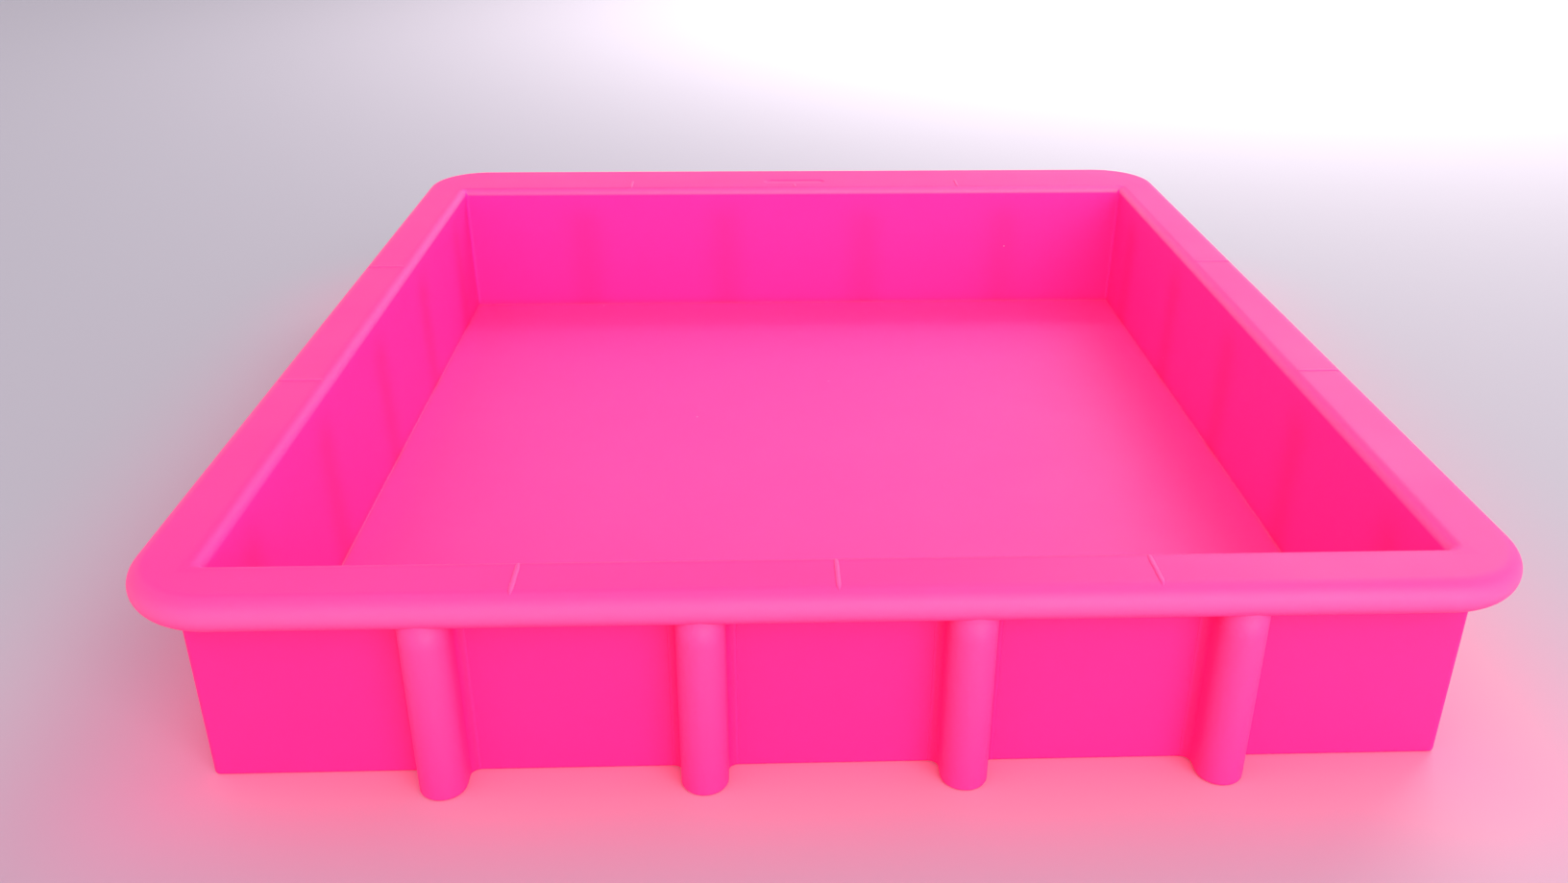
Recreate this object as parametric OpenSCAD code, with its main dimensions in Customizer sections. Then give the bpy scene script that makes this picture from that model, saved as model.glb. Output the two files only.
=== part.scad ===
// Slab mould for soap: an open silicone tray with a rolled rim, upright ribs
// round its walls and raised cutting guides on the rim.
// The origin is the centre of the base, +Z is up and the front faces -Y.
// Every section of the casting is a solid of its own, and they meet face to face.

/* [Cavity] */
// Width of the cavity at the rim
cavity_w = 241.3; // [200:0.1:320]
// Length of the cavity at the rim, front to back
cavity_l = 266.7; // [220:0.1:360]
// Depth of the cavity
cavity_depth = 44; // [30:1:70]
// How much closer each wall stands at the floor than at the rim
draft = 0.75; // [0:0.05:2]

/* [Skin] */
// Thickness of the floor
floor_t = 3; // [2:0.5:6]
// Thickness of the walls under the rim
wall_t = 4.5; // [3:0.5:6]
// Radius of the upright outer corners of the walls
wall_corner_r = 1.5; // [1:0.5:8]

/* [Rim] */
// Width of the rim in front and at the sides, from the cavity edge
rim_w = 15; // [14.5:0.5:30]
// Width of the rim at the back, from the cavity edge
rim_back_w = 28; // [26:1:45]
// Thickness of the rim, whose outer edge is a half round
rim_t = 7.6; // [4:0.2:12]
// Radius of the rim's corners in plan
rim_corner_r = 20; // [13:1:30]
// Rounding of the edge between the rim and the cavity
rim_inner_r = 2.5; // [0.5:0.5:3.5]

/* [Ribs] */
// Width of a rib
rib_w = 9.5; // [5:0.5:11]
// How far a rib stands out from the wall
rib_reach = 9; // [6:0.5:10]
// Hollow rounding where a rib meets the wall
rib_root_r = 2; // [1:0.5:4]
// Distance between the ribs of the front and the back
rib_pitch = 52; // [30:1:64]
// Distance between the ribs of the sides
side_rib_pitch = 55; // [30:1:60]

/* [Cutting guides] */
// Bars that the guides divide the width into
bars_across = 4; // [2:1:6]
// Bars that the guides divide the length into
bars_along = 3; // [2:1:6]
// Width of a guide, twice its height
guide_w = 1.2; // [0.8:0.1:3]
// Length of a guide on the back rim; the others cross the flat of their rim
back_guide_l = 16.5; // [2:0.5:20]

/* [Blank plaque] */
// Length of the plain recess in the middle of the back rim
plaque_l = 22; // [10:1:40]
// Width of the recess, which has round ends
plaque_w = 4.5; // [3:0.5:5]
// Distance from the cavity edge to the middle of the recess
plaque_inset = 9.5; // [9:0.5:18]
// Depth of the recess
plaque_depth = 0.5; // [0.3:0.1:1.5]

/* [Hidden] */
$fn = 64;
height = floor_t + cavity_depth;
rim_z = height - rim_t;
edge_r = rim_t / 2;
guide_gap = 1; // between the middle guide of the back and the recess
// Wider than any rim, for the wedges that share the corners out
far = 60;
pink = [1.0, 0.20, 0.58];
// Each side is drawn as the front and turned to its place
FRONT = 0;
RIGHT = 90;
BACK = 180;
LEFT = 270;
FRONT_RIBS = 4;
SIDE_RIBS = 5;

function is_end(side) = side == FRONT || side == BACK;
// Distance from the origin to a side's cavity edge, and that edge's length
function edge_y(side) = is_end(side) ? cavity_l / 2 : cavity_w / 2;
function edge_l(side) = is_end(side) ? cavity_w : cavity_l;
function rib_count(side) = is_end(side) ? FRONT_RIBS : SIDE_RIBS;
function pitch(side) = is_end(side) ? rib_pitch : side_rib_pitch;
function bars(side) = is_end(side) ? bars_across : bars_along;
// Ribs are counted from the left on the ends and from the front on the sides
function count_sign(side) = side == FRONT || side == RIGHT ? 1 : -1;
function rib_x(side, i) = count_sign(side) * pitch(side) * (i - (rib_count(side) + 1) / 2);
function rib_names(stem, count) = [for (i = [1:count]) str(stem, i)];

// Turns a shape drawn at the front, whose cavity edge is at y = 0, to a side
module at_side(side) {
    rotate([0, 0, side]) translate([0, -edge_y(side), 0]) children();
}

// Runs a profile along X: its x is the distance out from y = 0, its y is the height
module run_along(length) {
    rotate([90, 0, 270]) linear_extrude(length, center = true) children();
}

// A side's share of the casting: from an inset inside its cavity edge outwards,
// between 45 degree planes through the cavity's corners
module wedge(side, inset) {
    half = edge_l(side) / 2;
    linear_extrude(height + 1) polygon([[-half + inset, inset], [half - inset, inset],
        [half + far, -far], [-half - far, -far]]);
}

module rounded_plan(width, length, radius) {
    square([width - 2 * radius, length], center = true);
    square([width, length - 2 * radius], center = true);
    for (sx = [-1, 1], sy = [-1, 1])
        translate([sx * (width / 2 - radius), sy * (length / 2 - radius)]) circle(radius);
}

module outer_plan() {
    rounded_plan(cavity_w + 2 * wall_t, cavity_l + 2 * wall_t, wall_corner_r);
}

module floor_panel() {
    color(pink) linear_extrude(floor_t) outer_plan();
}

// One wall: upright outside, leaning in by the draft inside
module wall(side) {
    color(pink) intersection() {
        at_side(side) intersection() {
            run_along(edge_l(side) + 2 * wall_t)
                polygon([[wall_t, floor_t], [-draft, floor_t], [0, rim_z], [wall_t, rim_z]]);
            wedge(side, draft);
        }
        linear_extrude(height) outer_plan();
    }
}

// The rim's half round edge as a profile: x from the middle of the slab outwards
module edge_profile(depth) {
    translate([0, rim_z]) square([depth - edge_r, rim_t]);
    translate([depth - edge_r, rim_z + edge_r]) circle(edge_r);
}

// The whole rim as a slab, before it is shared between the four sides
module rim_slab() {
    half_w = cavity_w / 2 + rim_w;
    front_y = -cavity_l / 2 - rim_w;
    back_y = cavity_l / 2 + rim_back_w;
    mid_y = (front_y + back_y) / 2;
    half_l = (back_y - front_y) / 2;
    translate([0, mid_y, 0]) {
        for (turn = [0, 180]) rotate([0, 0, turn]) {
            run_along(2 * (half_w - rim_corner_r)) edge_profile(half_l);
            rotate([0, 0, 90]) run_along(2 * (half_l - rim_corner_r)) edge_profile(half_w);
        }
        for (sx = [-1, 1], sy = [-1, 1])
            translate([sx * (half_w - rim_corner_r), sy * (half_l - rim_corner_r), 0])
                rotate_extrude() edge_profile(rim_corner_r);
    }
}

module inner_rounding(side) {
    run_along(edge_l(side) + 2 * far) difference() {
        translate([-1, height - rim_inner_r]) square([rim_inner_r + 1, rim_inner_r + 1]);
        translate([rim_inner_r, height - rim_inner_r]) circle(rim_inner_r);
    }
}

module plaque_recess() {
    translate([0, -plaque_inset, height - plaque_depth]) linear_extrude(plaque_depth + 1) {
        square([plaque_l - plaque_w, plaque_w], center = true);
        for (sx = [-1, 1]) translate([sx * (plaque_l - plaque_w) / 2, 0]) circle(plaque_w / 2);
    }
}

// One side of the rim, mitred at the cavity's corners
module rim(side) {
    color(pink) difference() {
        intersection() {
            rim_slab();
            at_side(side) wedge(side, 0);
        }
        at_side(side) inner_rounding(side);
        if (side == BACK) at_side(side) plaque_recess();
    }
}

// A rib in plan: straight flanks, a round nose and hollow roundings at its root
module rib_plan() {
    nose_r = rib_w / 2;
    translate([-nose_r, -(rib_reach - nose_r)]) square([rib_w, rib_reach - nose_r]);
    translate([0, -(rib_reach - nose_r)]) circle(nose_r);
    for (flip = [0, 1]) mirror([flip, 0]) difference() {
        translate([nose_r - 1, -rib_root_r]) square([rib_root_r + 1, rib_root_r]);
        translate([nose_r + rib_root_r, -rib_root_r]) circle(rib_root_r);
    }
}

module rib(side, i) {
    color(pink) at_side(side) translate([rib_x(side, i), -wall_t, 0])
        linear_extrude(rim_z) rib_plan();
}

// A guide starts where the inner rounding ends; the middle one of the back stops
// short of the recess
function guide_l(side, i) =
    side != BACK ? rim_w - edge_r - rim_inner_r :
    2 * i == bars(side) ? plaque_inset - plaque_w / 2 - guide_gap - rim_inner_r : back_guide_l;

// The raised guides of one side, half round bars that lie across the rim
module guides(side) {
    spacing = edge_l(side) / bars(side);
    color(pink) at_side(side) for (i = [1:bars(side) - 1])
        translate([i * spacing - edge_l(side) / 2, -rim_inner_r, height]) intersection() {
            rotate([90, 0, 0]) cylinder(h = guide_l(side, i), r = guide_w / 2);
            translate([-guide_w, -guide_l(side, i) - 1, 0])
                cube([2 * guide_w, guide_l(side, i) + 2, guide_w]);
        }
}

floor_panel();
wall(FRONT);  // front_wall
wall(RIGHT);  // right_wall
wall(BACK);  // back_wall
wall(LEFT);  // left_wall
rim(FRONT);  // rim_front
rim(RIGHT);  // rim_right
rim(BACK);  // rim_back
rim(LEFT);  // rim_left
for (i = [1:FRONT_RIBS]) {
    rib(FRONT, i);
    rib(BACK, i);
}
for (i = [1:SIDE_RIBS]) {
    rib(LEFT, i);
    rib(RIGHT, i);
}
guides(FRONT);  // front_guides
guides(RIGHT);  // right_guides
guides(BACK);  // back_guides
guides(LEFT);  // left_guides
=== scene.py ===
"""Builds a one-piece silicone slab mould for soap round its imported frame."""

import math

import bpy
import numpy as np
from mathutils import Matrix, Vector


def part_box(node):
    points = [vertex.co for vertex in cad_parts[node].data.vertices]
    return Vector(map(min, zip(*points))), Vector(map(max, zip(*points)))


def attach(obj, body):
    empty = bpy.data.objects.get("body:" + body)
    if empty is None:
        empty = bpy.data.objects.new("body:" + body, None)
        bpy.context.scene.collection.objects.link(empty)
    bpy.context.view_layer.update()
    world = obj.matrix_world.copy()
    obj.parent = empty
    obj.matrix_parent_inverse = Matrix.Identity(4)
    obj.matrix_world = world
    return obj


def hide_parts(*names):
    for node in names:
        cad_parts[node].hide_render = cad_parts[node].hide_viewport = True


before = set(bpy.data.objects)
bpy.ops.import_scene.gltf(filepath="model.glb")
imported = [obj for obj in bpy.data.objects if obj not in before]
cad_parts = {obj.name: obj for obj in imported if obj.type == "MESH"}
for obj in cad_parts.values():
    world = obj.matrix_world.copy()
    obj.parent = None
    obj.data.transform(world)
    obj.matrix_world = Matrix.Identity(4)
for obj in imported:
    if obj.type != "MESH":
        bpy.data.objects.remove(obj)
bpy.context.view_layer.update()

bl_info = {
    "name": "Soap slab mould",
    "version": (1, 0, 0),
    "blender": (4, 5, 0),
    "location": "View3D > Sidebar > Mould",
    "description": "Builds a silicone slab mould for soap, its ribs, cutting guides and stage",
    "category": "Add Mesh",
}

MM = 0.001
BODY = "root"
SIDES = ("front", "right", "back", "left")
# For each side: the direction along it, anticlockwise from above, and the one out of it
ALONG = {"front": (1, 0), "right": (0, 1), "back": (-1, 0), "left": (0, -1)}
OUT = {"front": (0, -1), "right": (1, 0), "back": (0, 1), "left": (-1, 0)}
RIBS = {"front": 4, "right": 5, "back": 4, "left": 5}
GUIDES = {"front": 3, "right": 2, "back": 3, "left": 2}
# How far a section's rows stand off a rounding's ends, so that the shading of the flats stays flat
NEAR = 0.35
# A hair's breadth, for telling which part of the skin a point is on
HAIR = 0.01
# How far inside the walls the rings' straight stretches end, so that the inmost ring doesn't cross itself
FLAT_INSET = 16
# How far in from the cavity edge a point still counts as on a wall: more than the draft
WALL_SKIN = 1.2
# Sockets of a Mix node that mixes colours
MIX_FACTOR, MIX_A, MIX_B, MIX_RESULT = 0, 6, 7, 2


def is_end(side):
    """True for the front and the back, false for the left and the right."""
    return side in ("front", "back")


# ---------------------------------------------------------------- sizes from the frame


def box_mm(node):
    """Lowest and highest corner of a frame node, in millimetres."""
    low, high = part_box(node)
    return np.array(low) / MM, np.array(high) / MM


class FrameSizes:
    """The mould's main sizes in millimetres, read off the frame's nodes."""

    def __init__(self):
        floor_high = box_mm("floor_panel")[1]
        wall_high = box_mm("front_wall")[1]
        front_low, front_high = box_mm("rim_front")
        self.half_x = box_mm("rim_right")[0][0]
        self.half_y = -front_high[1]
        self.draft = self.half_y + wall_high[1]
        self.floor_z = floor_high[2]
        self.wall_u = floor_high[0] - self.half_x
        self.rim_z = front_low[2]
        self.top_z = front_high[2]
        self.rim_u = -front_low[1] - self.half_y
        self.rim_back_u = box_mm("rim_back")[1][1] - self.half_y
        self.edge_r = (self.top_z - self.rim_z) / 2

    def edge(self, side):
        """Distance from the origin to a side's cavity edge."""
        return self.half_y if is_end(side) else self.half_x

    def half_length(self, side):
        """Half the length of a side's cavity edge."""
        return self.half_x if is_end(side) else self.half_y


SIZES = FrameSizes()


# ---------------------------------------------------------------- settings


def linear(hex_colour):
    """An sRGB hex colour as linear red, green and blue."""
    values = np.array([int(hex_colour[i:i + 2], 16) for i in (0, 2, 4)]) / 255
    return np.where(values <= 0.04045, values / 12.92, ((values + 0.055) / 1.055) ** 2.4)


def length(name, description, millimetres):
    """A length property with its default in millimetres."""
    return bpy.props.FloatProperty(
        name=name, description=description, default=millimetres * MM,
        min=0.0001, unit="LENGTH", precision=4)


def colour(name, description, hex_colour):
    """A colour property with its default as sRGB hex."""
    return bpy.props.FloatVectorProperty(
        name=name, description=description, default=tuple(linear(hex_colour)),
        size=3, min=0, max=1, subtype="COLOR")


class MouldBodySettings(bpy.types.PropertyGroup):
    """Roundings of the tray and the recess in its back rim."""

    cavity_corner: length("Cavity corner", "Radius of the upright corners inside", 1.2)
    floor_fillet: length("Floor fillet", "Radius between the floor and the walls", 0.4)
    inner_edge: length("Inner edge", "Rounding between the rim and the cavity", 2.5)
    rim_corner: length("Rim corner", "Radius of the rim's corners in plan", 20)
    wall_corner: length("Wall corner", "Radius of the upright outer corners", 1.5)
    under_rim: length("Under the rim", "Fillet between the rim and the outer wall", 1.4)
    foot_edge: length("Foot edge", "Rounding of the bottom edge", 0.7)
    plaque_length: length("Recess length", "Length of the plain recess in the rim", 22)
    plaque_width: length("Recess width", "Width of the recess, with round ends", 4.5)
    plaque_inset: length("Recess inset", "From the cavity edge to its middle", 9.5)
    plaque_depth: length("Recess depth", "Depth of the recess", 0.5)


class MouldRibSettings(bpy.types.PropertyGroup):
    """Shape of the upright ribs."""

    root: length("Root", "Hollow rounding where a rib meets the wall", 2)
    foot_edge: length("Foot edge", "Rounding of a rib's bottom edge", 0.7)


class MouldGuideSettings(bpy.types.PropertyGroup):
    """Shape of the raised cutting guides."""

    width: length("Width", "Width of a guide", 1.0)
    height: length("Height", "How far a guide stands up from the rim", 0.3)
    end_taper: length("End taper", "Length over which a guide's ends sink away", 2)


class MouldSiliconeSettings(bpy.types.PropertyGroup):
    """Colours and finish of the silicone."""

    light: colour("Light pink", "The lighter of two mottled pinks", "FF2485")
    deep: colour("Deep pink", "The deeper of two mottled pinks", "FF1D80")
    # Painted shade: the colour painted behind the ribs, in the crease round the floor, close under the rim
    # and in the ribs' root hollows
    shade: colour("Shade", "Where the skin is backed by a rib and little light comes through", "E60C6C")
    # Painted light: the colour painted on the rounded edges, the rim's half round, the cavity floor, the
    # ribs' noses and the guides
    edge: colour("Edge", "Where light leaks out of a rounded edge", "FF76AA")
    # Painted light: the colour painted inside the cavity for light that comes through the skin
    through: colour("Through", "Inside the cavity, where light comes through the skin", "FF2DAC")
    dust: colour("Dust", "Fine dust that clings to silicone", "FFB4D2")
    scatter: length("Scatter depth", "How far red light travels inside", 1.5)
    roughness: bpy.props.FloatProperty(
        name="Roughness", description="Mean roughness of the satin skin",
        default=0.56, min=0, max=1, subtype="FACTOR")


class MouldStageSettings(bpy.types.PropertyGroup):
    """Floor and lights."""

    floor: colour("Floor", "Colour of the pale floor", "A8A4AB")
    # Painted light: the pink light that the mould throws on the floor, painted into the floor's colour
    painted_bounce_light: colour("Glow", "Colour of the floor against the walls, tinted by the mould", "E48CAE")
    painted_bounce_light_reach: length("Glow reach", "How far from the walls the floor is tinted", 100)
    sky: colour("Surroundings", "Colour of the even light all round", "F6F0FA")
    sky_strength: bpy.props.FloatProperty(
        name="Surroundings strength", description="Strength of the even light",
        default=1.0, min=0)


# ---------------------------------------------------------------- mesh helpers


def arc(centre, radius, start, end, steps):
    """Points on an arc: the centre plus the radius times (cosine, sine) of an even sweep in degrees."""
    angle = np.radians(np.linspace(start, end, steps + 1))
    return np.array(centre) + radius * np.stack([np.cos(angle), np.sin(angle)], axis=1)


def ring_grid_faces(rows, columns):
    """Quads between neighbouring rings of a grid, each ring closed, and a cap on each end ring."""
    row = np.arange(rows - 1)[:, None]
    here = np.arange(columns)[None, :]
    there = (here + 1) % columns
    quads = np.stack([row * columns + here, (row + 1) * columns + here,
                      (row + 1) * columns + there, row * columns + there], axis=-1)
    first = list(range(columns))
    last = list(range(rows * columns - 1, (rows - 1) * columns - 1, -1))
    return quads.reshape(-1, 4).tolist() + [first, last]


def add_ring_meshes(name, grids, material, nodes, tints=None):
    """One object from grids of shape (rings, points, 3) in millimetres, standing for some frame nodes.

    Tints gives named values between 0 and 1, one for each point of the grids, that the material reads.
    """
    points, faces, start = [], [], 0
    for grid in grids:
        rows, columns = grid.shape[:2]
        points.append(grid.reshape(-1, 3) * MM)
        faces += [[start + corner for corner in face] for face in ring_grid_faces(rows, columns)]
        start += rows * columns
    mesh = bpy.data.meshes.new(name)
    mesh.from_pydata(np.concatenate(points), [], faces)
    mesh.polygons.foreach_set("use_smooth", [True] * len(mesh.polygons))
    for tint, values in (tints or {}).items():
        mesh.attributes.new(tint, "FLOAT", "POINT").data.foreach_set("value", values.ravel())
    mesh.materials.append(material)
    if mesh.validate():
        raise RuntimeError(f"{name} came out as a broken mesh")
    piece = bpy.data.objects.new(name, mesh)
    bpy.context.scene.collection.objects.link(piece)
    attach(piece, BODY)
    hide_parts(*nodes)
    return piece


def on_side(side, along, out, z):
    """Points at a distance along a side, a distance out from its cavity edge and a height."""
    a, o = np.array(ALONG[side]), np.array(OUT[side])
    plan = along[..., None] * a + (out + SIZES.edge(side))[..., None] * o
    return np.concatenate([plan, np.broadcast_to(z, along.shape)[..., None]], axis=-1)


# ---------------------------------------------------------------- tray body


def smooth_step(low, high, value):
    """0 below low, 1 above high, and a cubic ease between them."""
    t = np.clip((value - low) / (high - low), 0, 1)
    return t * t * (3 - 2 * t)


def body_section(s):
    """The tray's section: from the floor up the inside, over the rim and down the outside to the base.

    Each row is (distance out from the cavity edge, the same on the back side, corner radius in plan,
    height). Flats and draft are straight lines, and every edge between them is a quarter or half circle.
    """
    z = SIZES
    corner, fillet, inner = s.cavity_corner / MM, s.floor_fillet / MM, s.inner_edge / MM
    rim_corner, wall_corner = s.rim_corner / MM, s.wall_corner / MM
    under, foot = s.under_rim / MM, s.foot_edge / MM
    flat = z.rim_u - z.edge_r - inner
    flat_back = z.rim_back_u - z.edge_r - inner
    nose_corner = rim_corner - z.edge_r
    rows = []

    def add(points, radius, back=None):
        points = np.atleast_2d(points)
        back = points[:, 0] if back is None else back
        radius = np.broadcast_to(radius, points[:, 0].shape)
        rows.append(np.stack([points[:, 0], back, radius, points[:, 1]], axis=1))

    # The floor's rows stand closer together towards the walls, where its tint changes
    for inset in (12, 8, 5, 3, 1.8, 1, NEAR):
        add([[-z.draft - fillet - inset, z.floor_z]], NEAR)
    add(arc((-z.draft - fillet, z.floor_z + fillet), fillet, -90, 0, 6), np.linspace(NEAR, corner, 7))
    heights = np.concatenate([z.floor_z + fillet + np.array([NEAR, 1, 1.8, 3, 5]),
                              np.linspace(z.floor_z + 9, z.top_z - inner - NEAR, 8)])
    lean = -z.draft * np.clip(1 - (heights - z.floor_z) / (z.rim_z - z.floor_z), 0, 1)
    add(np.stack([lean, heights], axis=1), corner)
    rounding = arc((inner, z.top_z - inner), inner, 180, 90, 10)
    add(rounding, corner + rounding[:, 0])
    # Rows across the flat of the rim, closer together where the recess lies
    across = np.concatenate([
        [NEAR, (s.plaque_inset - s.plaque_width) / MM - inner],
        np.arange(s.plaque_inset / MM - inner - 3, s.plaque_inset / MM - inner + 3.1, 0.3),
        [flat_back * 0.6, flat_back * 0.8, flat_back - NEAR]])
    share = across / flat_back
    add(np.stack([inner + share * flat, np.full_like(share, z.top_z)], axis=1),
        corner + inner + share * (nose_corner - corner - inner), inner + across)
    nose = arc((z.rim_u - z.edge_r, z.top_z - z.edge_r), z.edge_r, 90, -90, 24)
    add(nose, nose_corner + nose[:, 0] - z.rim_u + z.edge_r, nose[:, 0] + z.rim_back_u - z.rim_u)
    share = np.array([NEAR / flat, 0.3, 0.6, 0.9])
    inside = z.wall_u + under + NEAR
    add(np.stack([z.rim_u - z.edge_r + share * (inside - z.rim_u + z.edge_r), np.full(4, z.rim_z)], axis=1),
        nose_corner + share * (wall_corner + under - nose_corner),
        z.rim_back_u - z.edge_r + share * (inside - z.rim_back_u + z.edge_r))
    add([[inside, z.rim_z]], wall_corner + under + NEAR)
    fillet_under = arc((z.wall_u + under, z.rim_z - under), under, 90, 180, 6)
    add(fillet_under, wall_corner + fillet_under[:, 0] - z.wall_u)
    wall_top = z.rim_z - under
    heights = np.concatenate([wall_top - np.array([NEAR, 1, 2, 3.5, 5.5, 8]),
                              np.linspace(wall_top - 12, foot + NEAR, 5)])
    add(np.stack([np.full_like(heights, z.wall_u), heights], axis=1), wall_corner)
    foot_arc = arc((z.wall_u - foot, foot), foot, 0, -90, 6)
    add(foot_arc, wall_corner + foot_arc[:, 0] - z.wall_u)
    add([[z.wall_u - foot - NEAR, 0]], wall_corner - foot - NEAR)
    add([[z.wall_u - FLAT_INSET, 0]], NEAR)
    return np.concatenate(rows)


def side_stops(side, s):
    """Where the rings have points along a side: every 3 mm, and every third of one along the recess."""
    spacing = 3
    beside_recess = 1.5
    reach = SIZES.half_length(side) - FLAT_INSET
    stops = np.linspace(-reach, reach, int(2 * reach / spacing) + 1)
    if side == "back":
        half = s.plaque_length / MM / 2 + beside_recess
        stops = np.concatenate([stops[np.abs(stops) > half + 1], np.linspace(-half, half, 77)])
        stops.sort()
    return stops


def body_grid(s):
    """The tray as rings in plan, one for each row of its section.

    A ring is a rounded rectangle: quarter circles at its corners and straight sides between them. The
    recess is a smooth step down inside a stretched circle, which is all the points within half its width
    of a short straight line.
    """
    out, out_back, radius, height = body_section(s).T[..., None]
    half_x, front, back = SIZES.half_x + out, -SIZES.half_y - out, SIZES.half_y + out_back
    columns = []
    corners = {"front": (-1, -1, 180), "right": (1, -1, 270), "back": (1, 1, 0), "left": (-1, 1, 90)}
    for side in SIDES:
        sx, sy, start = corners[side]
        angle = np.radians(np.linspace(start, start + 90, 25))[None, :]
        centre_x = sx * (half_x - radius)
        centre_y = (front + radius) if sy < 0 else (back - radius)
        columns.append((centre_x + radius * np.cos(angle), centre_y + radius * np.sin(angle)))
        along = side_stops(side, s)[None, :] + 0 * out
        edge = {"front": front, "right": half_x, "back": back, "left": -half_x}[side] + 0 * along
        if is_end(side):
            columns.append((along * ALONG[side][0], edge))
        else:
            columns.append((edge, along * ALONG[side][1]))
    x = np.concatenate([c[0] for c in columns], axis=1)
    y = np.concatenate([c[1] for c in columns], axis=1)
    z = height + 0 * x
    half_line = (s.plaque_length - s.plaque_width) / MM / 2
    from_line = np.hypot(x - np.clip(x, -half_line, half_line), y - SIZES.half_y - s.plaque_inset / MM)
    slope = 0.3
    inside = 1 - smooth_step(-slope, slope, from_line - s.plaque_width / MM / 2)
    z = z - np.where(z > SIZES.top_z - HAIR, inside * s.plaque_depth / MM, 0)
    return np.stack([x, y, z], axis=-1)


def behind_ribs(x, y, z, inside):
    """How close a point inside a wall is to the middle of the rib behind it, for the shade painted there.

    It is a bell curve of the distance along the wall, weaker on the ends, that fades out under the rim.
    """
    spread = 6.5
    share_on_end, share_on_side = 0.24, 0.42
    fade_start, fade_end = 12, 4
    behind = np.zeros_like(x)
    for side in SIDES:
        run, across = (x, y) if is_end(side) else (y, x)
        share = share_on_end if is_end(side) else share_on_side
        on_inner = inside & (sum(OUT[side]) * across > SIZES.edge(side) - WALL_SKIN)
        for number in range(1, RIBS[side] + 1):
            low, high = box_mm(f"{side}_rib_{number}")
            middle = (low + high)[0 if is_end(side) else 1] / 2
            behind += np.where(on_inner, share * np.exp(-((run - middle) / spread) ** 2), 0)
    return behind * (1 - smooth_step(SIZES.top_z - fade_start, SIZES.top_z - fade_end, z))


def body_painted_shade(x, y, z, beyond, inside):
    """Where shade is painted into the tray's pink, which makes it deeper.

    Shade is painted inside the walls behind the ribs, and in the crease round the floor, where it falls to
    about a third with each millimetre from the line between floor and wall. Outside it is painted close under
    the rim, where little light falls.
    """
    crease_share, under_share = 0.6, 0.6
    under_fall = 3.5
    from_crease = np.hypot(beyond + SIZES.draft, z - SIZES.floor_z)
    crease = np.where(inside, np.exp(-from_crease), 0)
    on_wall = (z < SIZES.rim_z) & (beyond > SIZES.wall_u - HAIR)
    under_rim = np.where(on_wall, np.exp((z - SIZES.rim_z) / under_fall), 0)
    deeper = behind_ribs(x, y, z, inside) + crease_share * crease + under_share * under_rim
    return np.clip(deeper, 0, 1)


def body_painted_light(x, y, z, beyond, inner, on_floor):
    """Where light is painted into the tray's pink to make it lighter, partly for light leaking out of it and
    partly for the stage's light falling on it.

    The rounding at the cavity's edge is painted lighter: quickly above its foot, then less and less up to the
    flat, and most of all at the back and the right, which suits the stage's light and not every other. The
    outer half round gets a painted highlight by a bell curve of the height, which starts just under the flat,
    and the floor is painted slightly lighter all over.
    """
    edge_mean, edge_swing, edge_start = 0.55, 0.4, 0.3
    nose_share, nose_spread, nose_rise = 0.46, 3.2, 0.2
    floor_share = 0.15
    on_edge = (z > SIZES.top_z - inner - HAIR) & (beyond > -HAIR) & (beyond < inner + HAIR)
    up = np.clip((z - SIZES.top_z + inner) / inner, 0, 1)
    to_back_right = (x / SIZES.half_x + y / SIZES.half_y) / 2
    strength = edge_mean + edge_swing * to_back_right
    edge = np.where(on_edge, smooth_step(0, edge_start, up) * (1 - up ** 2) * strength, 0)
    nose_z = SIZES.top_z - SIZES.edge_r + nose_rise
    on_nose = (beyond > inner + 1) & (z > SIZES.rim_z - HAIR)
    below_top = smooth_step(-0.15, 0.3, SIZES.top_z - z)
    nose = np.where(on_nose, below_top * np.exp(-((z - nose_z) / nose_spread) ** 2), 0)
    return edge + nose_share * nose + np.where(on_floor, floor_share, 0)


def body_through(y, z, beyond, inner, inside, on_floor):
    """Where light that comes through the tray's skin from behind is painted in as a lighter pink.

    Most comes through the end walls, less through the side walls, and least through the floor, where it
    fades with the distance from the walls. It dies out over the rounding at the cavity's edge.
    """
    by_end, by_side, by_floor, near_wall = 0.75, 0.45, 0.15, 0.4
    floor_fall = 10
    edge_fall = 1.4
    on_end = inside & (np.abs(y) > SIZES.half_y - WALL_SKIN)
    from_wall = np.exp((beyond + SIZES.draft) / floor_fall)
    through = np.where(on_floor, by_floor + near_wall * from_wall, np.where(on_end, by_end, by_side))
    in_cavity = np.clip(1 - edge_fall * beyond / inner, 0, 1)
    return through * np.where(z > SIZES.floor_z - HAIR, in_cavity, 0)


def body_tints(grid, s):
    """How much painted light and shade goes into the tray's pink, as three named shares between 0 and 1.

    Beyond is a point's distance out from the cavity edge, less than 0 inside the cavity.
    """
    x, y, z = np.moveaxis(grid, -1, 0)
    inner = s.inner_edge / MM
    beyond = np.maximum(np.abs(x) - SIZES.half_x, np.abs(y) - SIZES.half_y)
    inside = (beyond < HAIR) & (z > SIZES.floor_z - HAIR)
    on_floor = inside & (z < SIZES.floor_z + 10 * HAIR)
    return {"through": body_through(y, z, beyond, inner, inside, on_floor),
            "deeper": body_painted_shade(x, y, z, beyond, inside),
            "painted_light": body_painted_light(x, y, z, beyond, inner, on_floor)}


# ---------------------------------------------------------------- ribs


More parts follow.
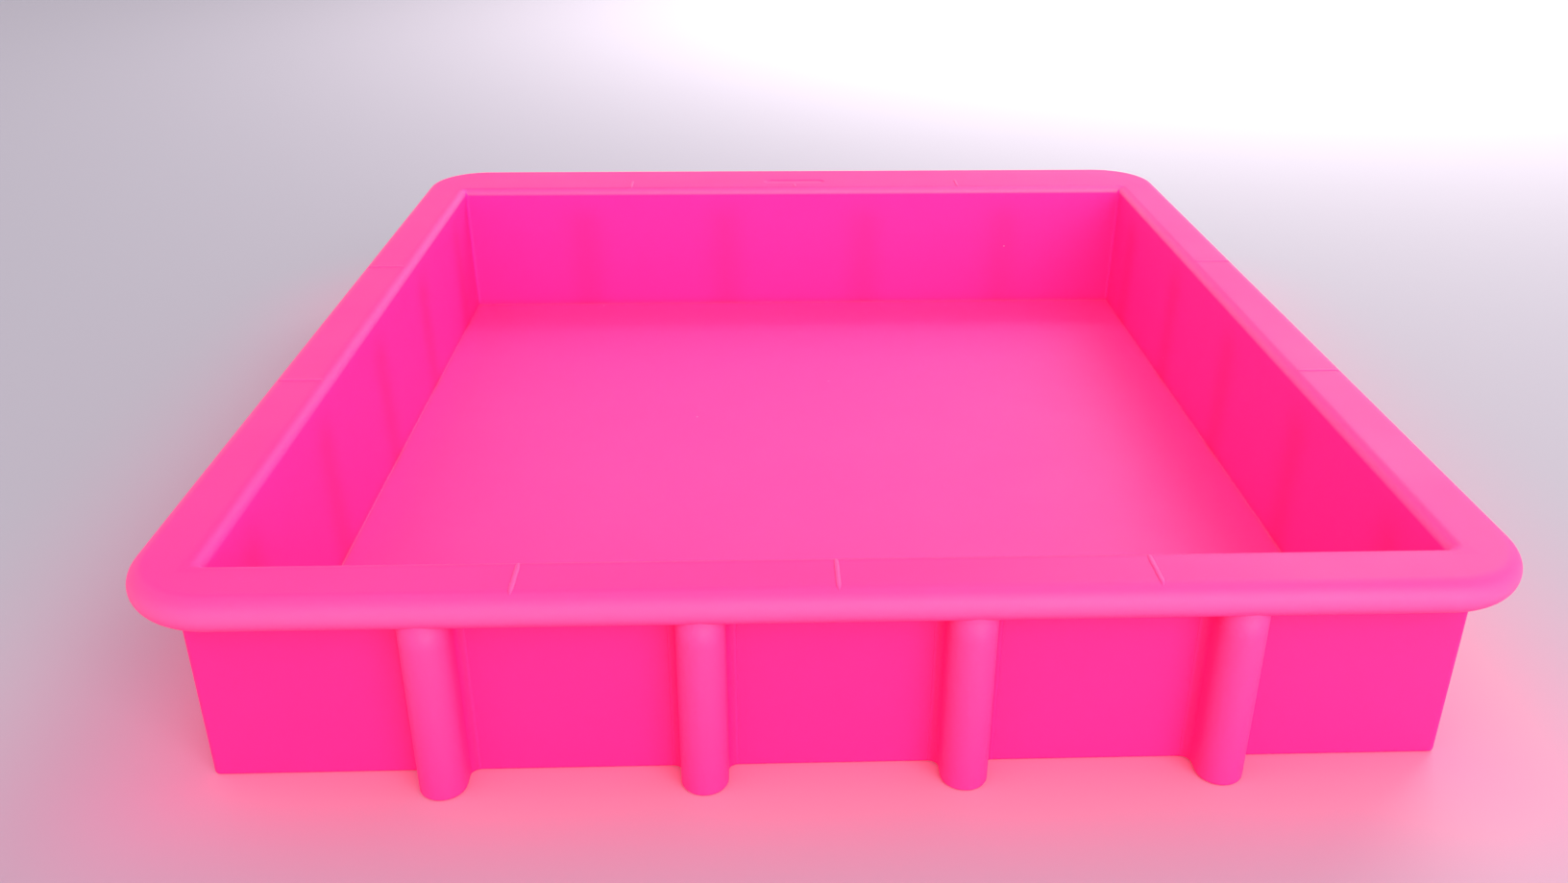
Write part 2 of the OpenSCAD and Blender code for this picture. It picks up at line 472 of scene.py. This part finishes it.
def rib_outline(half_width, reach, root, shrink):
    """A rib in plan as (along, out): a hollow quarter circle, a straight flank, a half round nose and back.

    Its base lies deep inside the wall. Shrink moves the whole outline inwards.
    """
    sunk = 3.5
    edge = half_width + root
    rise = arc((-edge, root), root + shrink, -90, 0, 8)
    nose = arc((0, reach - half_width), half_width - shrink, 180, 0, 20)
    fall = rise[::-1] * [-1, 1]
    base = [[edge, -sunk], [0, -sunk], [-edge, -sunk]]
    return np.concatenate([rise, nose, fall, base])


def rib_grid(side, node, s):
    """A rib as a stack of outlines from inside the rim down to the foot, whose edge is a quarter circle."""
    low, high = box_mm(node)
    along_axis = 0 if is_end(side) else 1
    centre = (low[along_axis] + high[along_axis]) / 2 * sum(ALONG[side])
    root, foot = s.root / MM, s.foot_edge / MM
    half_width = (high[along_axis] - low[along_axis]) / 2 - root
    reach = (high - low)[1 - along_axis]
    into_rim = 1.2
    upright_rows = 8
    edge = arc((0, foot), foot, 0, -90, 6)
    shrink = np.concatenate([np.zeros(upright_rows), foot - edge[:, 0]])
    upright = np.linspace(SIZES.rim_z + into_rim, foot + NEAR, upright_rows)
    heights = np.concatenate([upright, edge[:, 1]])
    rings = np.stack([rib_outline(half_width, reach, root, d) for d in shrink])
    return on_side(side, rings[..., 0] + centre, rings[..., 1] + SIZES.wall_u, heights[:, None])


def rib_tints(side, grid, s):
    """Ribs get painted light on their round noses, most of all near the rim, and painted shade in their
    roots' hollows.

    Both follow the distance out from the wall; the painted light's share rises evenly from the foot to the
    rim.
    """
    painted_light_share, foot_share, painted_shade_share = 0.24, 0.4, 0.45
    root = s.root / MM
    out = grid[..., :2] @ np.array(OUT[side], float) - SIZES.edge(side) - SIZES.wall_u
    nose = smooth_step(root, out.max() - 2, out)
    rise = foot_share + (1 - foot_share) * grid[..., 2] / SIZES.rim_z
    hollow = (1 - smooth_step(0.2, root, out)) * (out > 0.05)
    return {"painted_light": painted_light_share * nose * rise, "deeper": painted_shade_share * hollow}


# ---------------------------------------------------------------- cutting guides


def rim_path(inner, end):
    """The line that a guide follows over the rim as (out, height) and its upward direction.

    It starts at the top of the inner rounding, crosses the flat and, where no end is given, sinks away at
    the start of the outer half round. The roundings are arcs, and their radius is their upward direction.
    """
    start_angle, sink_angle = 106, 66
    off_rounding = 0.4
    flat_end = SIZES.rim_u - SIZES.edge_r
    start = arc((0, 0), 1, start_angle, 90, 3)
    over = arc((0, 0), 1, 90, sink_angle, 4)
    flat_stop = min(end, flat_end) if end is not None else flat_end
    flat = np.linspace(inner + off_rounding, flat_stop - off_rounding, 10)
    level = np.stack([flat, np.full_like(flat, SIZES.top_z)], axis=1)
    points = [start * inner + [inner, SIZES.top_z - inner], level]
    ups = [start, np.tile([0.0, 1.0], (len(flat), 1))]
    if end is None:
        points.append(over * SIZES.edge_r + [flat_end, SIZES.top_z - SIZES.edge_r])
        ups.append(over)
    return np.concatenate(points), np.concatenate(ups)


def guide_grid(side, place, end, s, inner):
    """A guide as a tube with a flat oval section, half sunk in the rim, whose ends shrink like a circle.

    The tube keeps a little of its width at the very ends, so that its last rings are never a point.
    """
    least = 0.03
    path, up = rim_path(inner, end)
    half_width, height = s.width / MM / 2, s.height / MM
    walked = np.concatenate([[0], np.cumsum(np.hypot(*np.diff(path, axis=0).T))])
    from_end = np.minimum(walked, walked[-1] - walked) / (s.end_taper / MM)
    swell = np.sqrt(1 - (1 - np.clip(from_end, least, 1)) ** 2)[:, None]
    angle = np.linspace(2 * math.pi, 0, 17)[None, :-1]
    along = place + half_width * swell * np.cos(angle)
    rise = height * swell * np.sin(angle)
    return on_side(side, along, path[:, :1] + up[:, :1] * rise, path[:, 1:] + up[:, 1:] * rise)


def guide_end(side, index):
    """Where a guide ends, out from the cavity edge; None where it crosses the whole flat.

    The middle guide of the back stops short of the recess.
    """
    gap = 1
    if side != "back":
        return None
    low, high = box_mm("back_guides")
    middle = (GUIDES[side] - 1) / 2
    body = bpy.context.scene.mould_body
    before_recess = (body.plaque_inset - body.plaque_width / 2) / MM - gap
    return before_recess if index == middle else high[1] - SIZES.half_y


# ---------------------------------------------------------------- material


def add_node(tree, kind, settings=None, inputs=None, links=None):
    """Adds a node, sets its own settings and input values, and links outputs of other nodes to its inputs."""
    node = tree.nodes.new(kind)
    for key, value in (settings or {}).items():
        setattr(node, key, value)
    for key, value in (inputs or {}).items():
        node.inputs[key].default_value = value
    for key, output in (links or {}).items():
        tree.links.new(output, node.inputs[key])
    return node


def per_size(millimetres):
    """A texture scale that gives features of about this size."""
    return 1 / (millimetres * MM)


def moulded_silicone():
    """Platinum-cured silicone rubber with a hot pink pigment, cast against a satin-blasted metal mould.

    Its skin is a soft satin, light goes some millimetres into it, red the furthest, and it holds fine dust.
    """
    s = bpy.context.scene.mould_silicone
    name = "moulded_silicone"
    if name in bpy.data.materials:
        return bpy.data.materials[name]
    material = bpy.data.materials.new(name)
    material.use_nodes = True
    tree = material.node_tree
    tree.nodes.clear()
    place = add_node(tree, "ShaderNodeTexCoord").outputs["Object"]
    clouds = add_node(tree, "ShaderNodeTexNoise", inputs={"Scale": per_size(38), "Detail": 3},
                      links={"Vector": place})
    pinks = add_node(tree, "ShaderNodeMix", {"data_type": "RGBA"},
                     {MIX_A: (*s.light, 1), MIX_B: (*s.deep, 1)}, {MIX_FACTOR: clouds.outputs["Fac"]})
    # The tints mix painted light and shade into the pink: light through the skin, shade, and light on edges,
    # noses and guides
    for tint, tone in (("through", s.through), ("deeper", s.shade), ("painted_light", s.edge)):
        amount = add_node(tree, "ShaderNodeAttribute", {"attribute_name": tint})
        pinks = add_node(tree, "ShaderNodeMix", {"data_type": "RGBA"}, {MIX_B: (*tone, 1)},
                         {MIX_FACTOR: amount.outputs["Fac"], MIX_A: pinks.outputs[MIX_RESULT]})
    # Dust: one speck of about 0.6 mm in each 24 mm, which is coarser than real dust so that it shows
    specks = add_node(tree, "ShaderNodeTexVoronoi", inputs={"Scale": per_size(24)}, links={"Vector": place})
    near_speck = add_node(tree, "ShaderNodeMapRange",
                          inputs={"From Min": 0.016, "From Max": 0.008, "To Min": 0, "To Max": 0.5},
                          links={"Value": specks.outputs["Distance"]})
    skin = add_node(tree, "ShaderNodeMix", {"data_type": "RGBA"}, {MIX_B: (*s.dust, 1)},
                    {MIX_FACTOR: near_speck.outputs["Result"], MIX_A: pinks.outputs[MIX_RESULT]})
    grain = add_node(tree, "ShaderNodeTexNoise", inputs={"Scale": per_size(0.9), "Detail": 4},
                     links={"Vector": place})
    waves = add_node(tree, "ShaderNodeTexNoise", inputs={"Scale": per_size(26), "Detail": 1},
                     links={"Vector": place})
    swing = 0.08
    gloss = add_node(tree, "ShaderNodeMapRange",
                     inputs={"To Min": s.roughness - swing, "To Max": s.roughness + swing},
                     links={"Value": clouds.outputs["Fac"]})
    fine = add_node(tree, "ShaderNodeBump", inputs={"Strength": 0.25, "Distance": 0.05 * MM},
                    links={"Height": grain.outputs["Fac"]})
    slow = add_node(tree, "ShaderNodeBump", inputs={"Strength": 0.35, "Distance": 0.6 * MM},
                    links={"Height": waves.outputs["Fac"], "Normal": fine.outputs["Normal"]})
    # Painted light: a weak red light of its own keeps the pink bright in the shade. It stands for a pigment
    # taken to be fluorescent, giving some blue and green light back as red, but it doesn't follow the light
    # and would show in the dark
    shader = add_node(tree, "ShaderNodeBsdfPrincipled", inputs={
        "Subsurface Weight": 0.3, "Subsurface Radius": (1, 0.25, 0.45),
        "Subsurface Scale": s.scatter, "IOR": 1.41,
        "Emission Color": (1, 0.01, 0.15, 1), "Emission Strength": 0.2,
    }, links={"Base Color": skin.outputs[MIX_RESULT], "Roughness": gloss.outputs["Result"],
              "Normal": slow.outputs["Normal"]})
    add_node(tree, "ShaderNodeOutputMaterial", links={"Surface": shader.outputs["BSDF"]})
    return material


def painted_floor():
    """A pale painted board, matt and even, with the pink light that the mould throws on it painted in close
    round it.

    The painted pink's share is the square of what is left of its reach, measured from the walls' outline.
    """
    stage = bpy.context.scene.mould_stage
    material = bpy.data.materials.new("painted_floor")
    material.use_nodes = True
    tree = material.node_tree
    shader = tree.nodes["Principled BSDF"]
    shader.inputs["Roughness"].default_value = 0.7
    place = add_node(tree, "ShaderNodeTexCoord").outputs["Object"]
    folded = add_node(tree, "ShaderNodeVectorMath", {"operation": "ABSOLUTE"}, links={0: place})
    half = [(size + SIZES.wall_u) * MM for size in (SIZES.half_x, SIZES.half_y)]
    beyond = add_node(tree, "ShaderNodeVectorMath", {"operation": "SUBTRACT"}, {1: (*half, 0)},
                      {0: folded.outputs["Vector"]})
    outside = add_node(tree, "ShaderNodeVectorMath", {"operation": "MAXIMUM"}, {1: (0, 0, 0)},
                       {0: beyond.outputs["Vector"]})
    away = add_node(tree, "ShaderNodeVectorMath", {"operation": "LENGTH"},
                    links={0: outside.outputs["Vector"]})
    left = add_node(tree, "ShaderNodeMapRange",
                    inputs={"From Max": stage.painted_bounce_light_reach, "To Min": 1, "To Max": 0},
                    links={"Value": away.outputs["Value"]})
    amount = add_node(tree, "ShaderNodeMath", {"operation": "POWER"}, {1: 2}, {0: left.outputs["Result"]})
    mixed = add_node(tree, "ShaderNodeMix", {"data_type": "RGBA"},
                     {MIX_A: (*stage.floor, 1), MIX_B: (*stage.painted_bounce_light, 1)},
                     {MIX_FACTOR: amount.outputs["Value"]})
    tree.links.new(mixed.outputs[MIX_RESULT], shader.inputs["Base Color"])
    return material


# ---------------------------------------------------------------- operators


class MOULD_OT_body(bpy.types.Operator):
    """Adds the tray: floor, walls and rim as one skin."""

    bl_idname = "mould.body"
    bl_label = "Tray body"

    def execute(self, context):
        nodes = ["floor_panel"] + [f"{side}_wall" for side in SIDES] + [f"rim_{side}" for side in SIDES]
        settings = context.scene.mould_body
        grid = body_grid(settings)
        add_ring_meshes("tray_body", [grid], moulded_silicone(), nodes, body_tints(grid, settings))
        return {"FINISHED"}


class MOULD_OT_ribs(bpy.types.Operator):
    """Adds the upright ribs round the walls."""

    bl_idname = "mould.ribs"
    bl_label = "Ribs"

    def execute(self, context):
        for side in SIDES:
            for number in range(1, RIBS[side] + 1):
                node = f"{side}_rib_{number}"
                settings = context.scene.mould_ribs
                grid = rib_grid(side, node, settings)
                add_ring_meshes(f"rib_{side}_{number}", [grid], moulded_silicone(), [node],
                                rib_tints(side, grid, settings))
        return {"FINISHED"}


class MOULD_OT_guides(bpy.types.Operator):
    """Adds the raised cutting guides on the rim."""

    bl_idname = "mould.guides"
    bl_label = "Cutting guides"

    def execute(self, context):
        scene = context.scene
        # Painted light: the guides are painted a little lighter all over
        painted_light_share = 0.25
        for side in SIDES:
            spacing = 2 * SIZES.half_length(side) / (GUIDES[side] + 1)
            places = np.arange(1, GUIDES[side] + 1) * spacing - SIZES.half_length(side)
            grids = [guide_grid(side, place, guide_end(side, i), scene.mould_guides,
                                scene.mould_body.inner_edge / MM) for i, place in enumerate(places)]
            count = sum(grid.shape[0] * grid.shape[1] for grid in grids)
            tints = {"painted_light": np.full(count, painted_light_share)}
            add_ring_meshes(f"guides_{side}", grids, moulded_silicone(), [f"{side}_guides"], tints)
        return {"FINISHED"}


class MOULD_OT_stage(bpy.types.Operator):
    """Adds the pale floor, soft lights and the camera."""

    bl_idname = "mould.stage"
    bl_label = "Stage"

    def execute(self, context):
        scene = context.scene
        stage = scene.mould_stage
        add_floor()
        world = bpy.data.worlds.new("surroundings")
        world.use_nodes = True
        background = world.node_tree.nodes["Background"]
        background.inputs["Color"].default_value = (*stage.sky, 1)
        background.inputs["Strength"].default_value = stage.sky_strength
        scene.world = world
        add_light("window", (900, 1050, 1150), (400, 500, 0), 900, 14, "FFFAF6")
        # It looks all but straight down: straight down leaves no sideways direction to level it by
        add_light("patch", (360, 950, 1000), (360, 951, 0), 600, 7.5, "FFF6FC", spread=80)
        add_light("room", (380, -950, 420), (40, -60, 20), 800, 8.5, "F3F4FF")
        add_camera()
        scene.view_settings.view_transform = "Standard"
        return {"FINISHED"}


def add_floor():
    """A flat floor under the mould, 8 m square."""
    half = 4.0
    mesh = bpy.data.meshes.new("floor")
    corners = [(-half, -half, 0), (half, -half, 0), (half, half, 0), (-half, half, 0)]
    mesh.from_pydata(corners, [], [(0, 1, 2, 3)])
    mesh.materials.append(painted_floor())
    floor = bpy.data.objects.new("floor", mesh)
    bpy.context.scene.collection.objects.link(floor)


def look_at(place, target):
    """A matrix at a place in millimetres whose -Z axis points at a target."""
    back = np.array(place) - np.array(target)
    direction = back / np.linalg.norm(back)
    right = np.cross((0, 0, 1), direction)
    right /= np.linalg.norm(right)
    return axes_matrix(right, np.cross(direction, right), direction, place)


def axes_matrix(x_axis, y_axis, z_axis, place):
    """A 4 by 4 matrix from three axes and a place in millimetres."""
    matrix = np.eye(4)
    matrix[:3, :3] = np.stack([x_axis, y_axis, z_axis], axis=1)
    matrix[:3, 3] = np.array(place) * MM
    return Matrix(matrix.tolist())


def add_light(name, place, target, size, power, hex_colour, spread=180):
    """A square soft light: place, target and size in millimetres, power in watts, spread in degrees."""
    data = bpy.data.lights.new(name, "AREA")
    data.size = size * MM
    data.energy = power
    data.color = tuple(linear(hex_colour))
    data.spread = math.radians(spread)
    light = bpy.data.objects.new(name, data)
    light.matrix_world = look_at(place, target)
    bpy.context.scene.collection.objects.link(light)


def add_camera():
    """A camera close in front of the mould, 18 cm up, a little left of its middle and turned slightly right.

    Yaw turns it to the right, pitch tips it down and roll tips it anticlockwise, in that order.
    """
    yaw, pitch, roll = np.radians([2.12, 26.15, 0.28])
    forward = np.array([math.sin(yaw) * math.cos(pitch), math.cos(yaw) * math.cos(pitch), -math.sin(pitch)])
    right = np.array([math.cos(yaw), -math.sin(yaw), 0])
    up = np.cross(right, forward)
    tilted_right = right * math.cos(roll) + up * math.sin(roll)
    tilted_up = up * math.cos(roll) - right * math.sin(roll)
    data = bpy.data.cameras.new("camera")
    data.sensor_width = 36
    data.lens = 31.2
    data.shift_x = -0.0125
    data.shift_y = 0.009
    data.clip_start = 0.01
    camera = bpy.data.objects.new("camera", data)
    camera.matrix_world = axes_matrix(tilted_right, tilted_up, -forward, (-14.6, -359.4, 179.2))
    bpy.context.scene.collection.objects.link(camera)
    bpy.context.scene.camera = camera


class MOULD_PT_panel(bpy.types.Panel):
    """Lists the mould's operators and settings."""

    bl_idname = "MOULD_PT_panel"
    bl_label = "Soap slab mould"
    bl_space_type = "VIEW_3D"
    bl_region_type = "UI"
    bl_category = "Mould"

    def draw(self, context):
        for operator, settings in PANEL_ROWS:
            self.layout.operator(operator.bl_idname)
            group = getattr(context.scene, settings)
            for name in group.__annotations__:
                self.layout.prop(group, name)


SETTINGS = {
    "mould_body": MouldBodySettings,
    "mould_ribs": MouldRibSettings,
    "mould_guides": MouldGuideSettings,
    "mould_silicone": MouldSiliconeSettings,
    "mould_stage": MouldStageSettings,
}
OPERATORS = (MOULD_OT_body, MOULD_OT_ribs, MOULD_OT_guides, MOULD_OT_stage)
PANEL_ROWS = (
    (MOULD_OT_body, "mould_body"),
    (MOULD_OT_ribs, "mould_ribs"),
    (MOULD_OT_guides, "mould_guides"),
    (MOULD_OT_stage, "mould_stage"),
)


def register():
    for name, group in SETTINGS.items():
        bpy.utils.register_class(group)
        setattr(bpy.types.Scene, name, bpy.props.PointerProperty(type=group))
    for kind in (*OPERATORS, MOULD_PT_panel):
        bpy.utils.register_class(kind)


def unregister():
    for kind in (MOULD_PT_panel, *reversed(OPERATORS)):
        bpy.utils.unregister_class(kind)
    for name, group in reversed(SETTINGS.items()):
        delattr(bpy.types.Scene, name)
        bpy.utils.unregister_class(group)


def main():
    register()
    bpy.ops.mould.body()
    bpy.ops.mould.ribs()
    bpy.ops.mould.guides()
    bpy.ops.mould.stage()
    bpy.context.view_layer.update()


if __name__ == "__main__":
    main()
